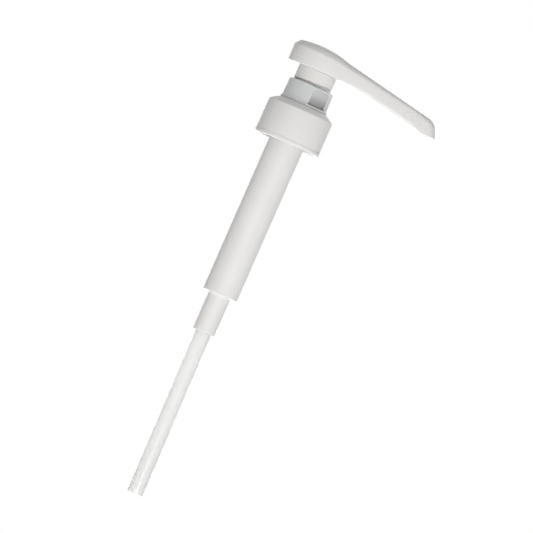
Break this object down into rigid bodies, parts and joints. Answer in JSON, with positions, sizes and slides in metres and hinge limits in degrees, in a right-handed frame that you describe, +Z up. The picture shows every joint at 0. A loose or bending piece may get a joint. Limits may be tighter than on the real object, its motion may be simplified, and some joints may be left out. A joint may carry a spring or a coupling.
{
  "type": "condiment pump dispenser",
  "caption": "White plastic plunger pump for a gallon sauce jug: pressing head with a long drooping spout, lock collar, screw cap, barrel and dip tube.",
  "frame": {"origin": "on the pump's axis, in the plane where the gasket's underside meets the jug's lip", "axes": "+Z up along the pump's axis towards the pressing head, +X along the spout"},
  "size_m": [0.1014, 0.0416, 0.2907],
  "materials": {
    "white_polypropylene": "injection moulded, satin to gloss",
    "natural_polypropylene": "injection moulded, natural, slightly milky",
    "translucent_polyethylene": "extruded, milky translucent",
    "white_elastomer": "moulded, matt",
    "stainless_steel": "drawn wire and ground balls"
  },
  "bodies": {
    "housing": {"barrel": "white_polypropylene", "chaplet": "natural_polypropylene", "stem_wiper": "white_elastomer", "neck_gasket": "white_elastomer", "return_spring": "stainless_steel", "inlet_ball_cage": "natural_polypropylene", "foot_valve_body": "white_polypropylene", "foot_seal_ring": "white_elastomer", "dip_tube": "translucent_polyethylene"},
    "cap": {"closure": "white_polypropylene"},
    "plunger": {"piston_cup": "white_elastomer", "piston_retainer": "natural_polypropylene", "spring_washer": "stainless_steel"},
    "head": {"pump_head": "white_polypropylene", "lock_sleeve": "white_polypropylene", "stem": "natural_polypropylene", "stem_o_ring": "white_elastomer", "outlet_ball_stop": "natural_polypropylene"},
    "inlet_check": {"inlet_ball": "stainless_steel"},
    "outlet_check": {"outlet_ball": "stainless_steel"}
  },
  "joints": [
    {"name": "cap_turn", "type": "hinge", "parent": "housing", "child": "cap", "pos_m": [0, 0, 0.0037], "axis": [0, 0, 1], "continuous": true},
    {"name": "pump_stroke", "type": "slide", "parent": "housing", "child": "plunger", "axis": [0, 0, 1], "range_m": [0, 0.05], "deforming": ["return_spring"]},
    {"name": "spout_swivel", "type": "hinge", "parent": "plunger", "child": "head", "pos_m": [0, 0, 0.0303], "axis": [0, 0, 1], "continuous": true},
    {"name": "inlet_ball_lift", "type": "slide", "parent": "housing", "child": "inlet_check", "axis": [0, 0, 1], "range_m": [0, 0.0025]},
    {"name": "outlet_ball_lift", "type": "slide", "parent": "head", "child": "outlet_check", "axis": [0, 0, 1], "range_m": [0, 0.002]}
  ]
}
